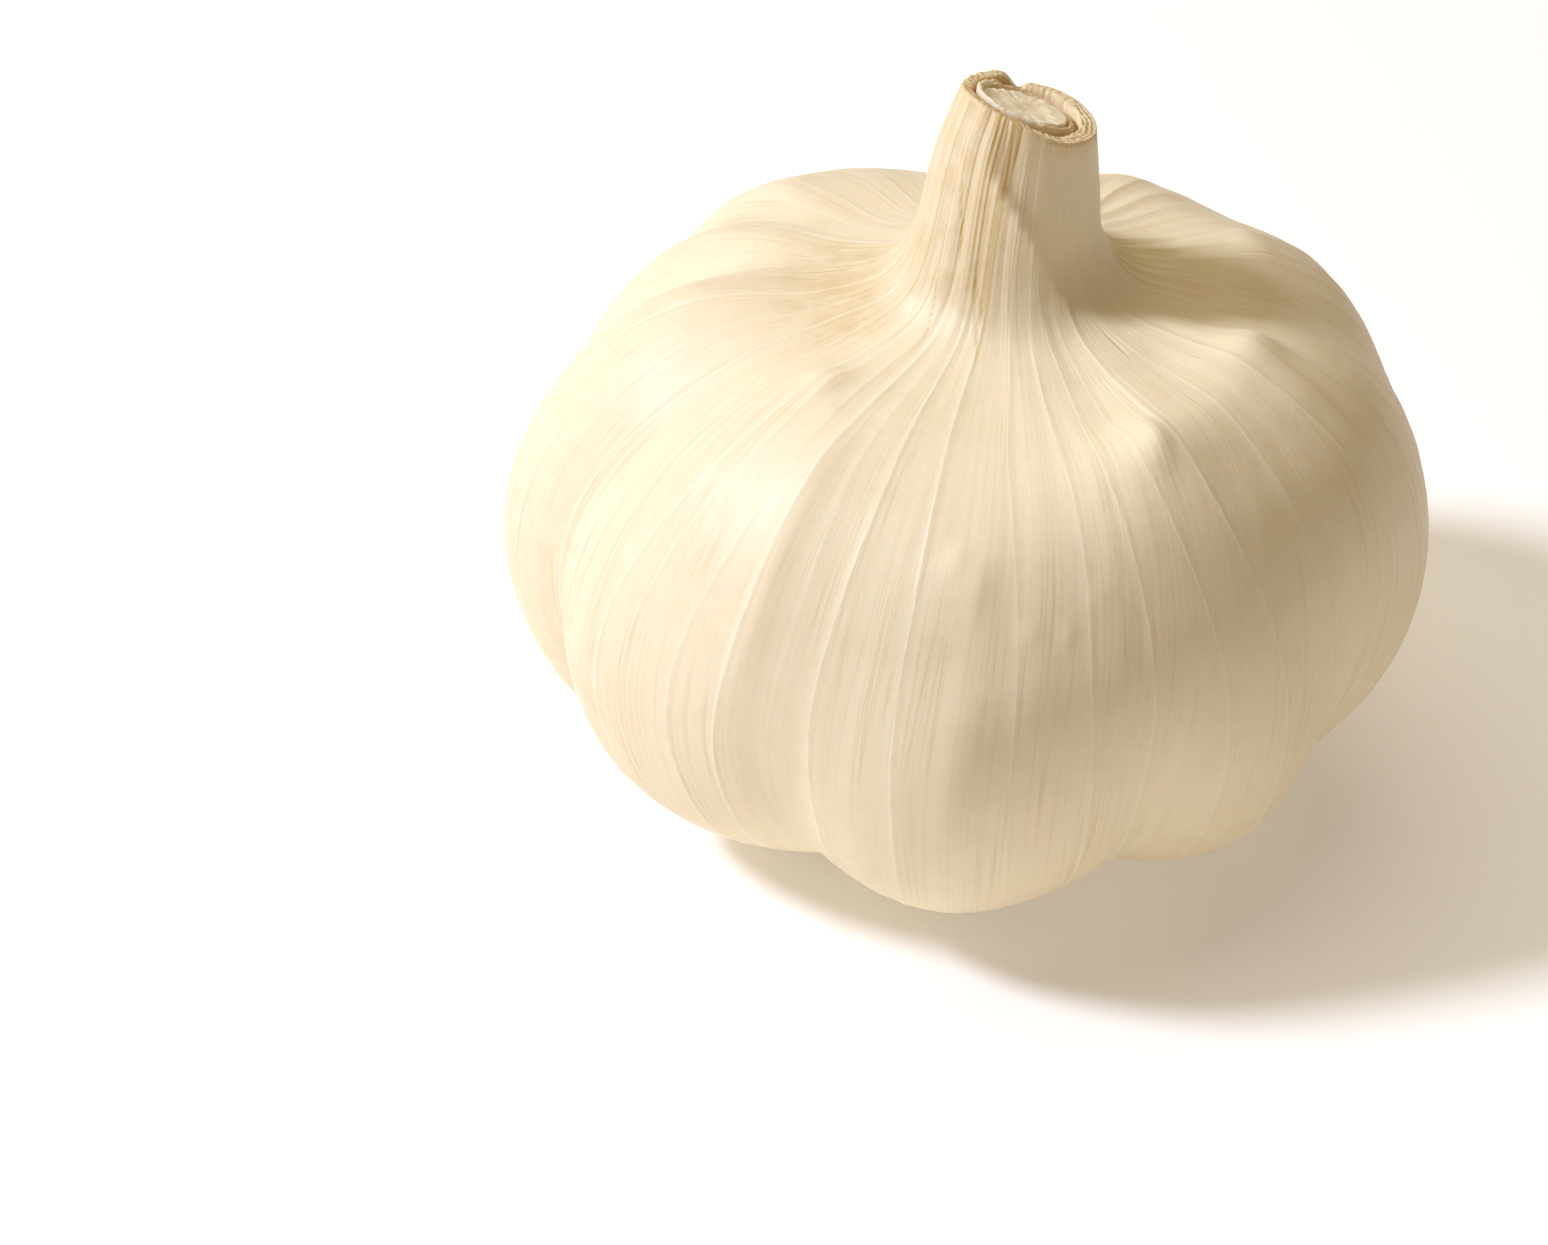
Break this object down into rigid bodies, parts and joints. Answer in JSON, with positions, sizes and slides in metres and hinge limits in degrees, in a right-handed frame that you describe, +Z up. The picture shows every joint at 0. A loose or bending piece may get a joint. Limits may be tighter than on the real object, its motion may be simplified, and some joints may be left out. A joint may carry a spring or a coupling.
{
  "type": "garlic bulb",
  "caption": "Whole garlic bulb: papery skin drawn over rounded cloves into a short cut neck with rolled inner layers, standing on a corky root plate.",
  "frame": {"origin": "middle of the flat spot under the root plate that the bulb rests on", "axes": "+Z up along the neck, -Y towards the front, +X to the right; the slanted cut falls towards +X"},
  "size_m": [0.0679, 0.0653, 0.0582],
  "materials": {
    "bulb_skin": "satin, cream, veined",
    "sheath_leaf": "matt, dried leaf",
    "stem_heart": "matt, fibrous",
    "root_cork": "matt, corky"
  },
  "bodies": {
    "root": {"wrapped_bulb": "bulb_skin", "inner_sheath": "sheath_leaf", "neck_heart": "stem_heart", "root_plate": "root_cork"}
  },
  "joints": []
}
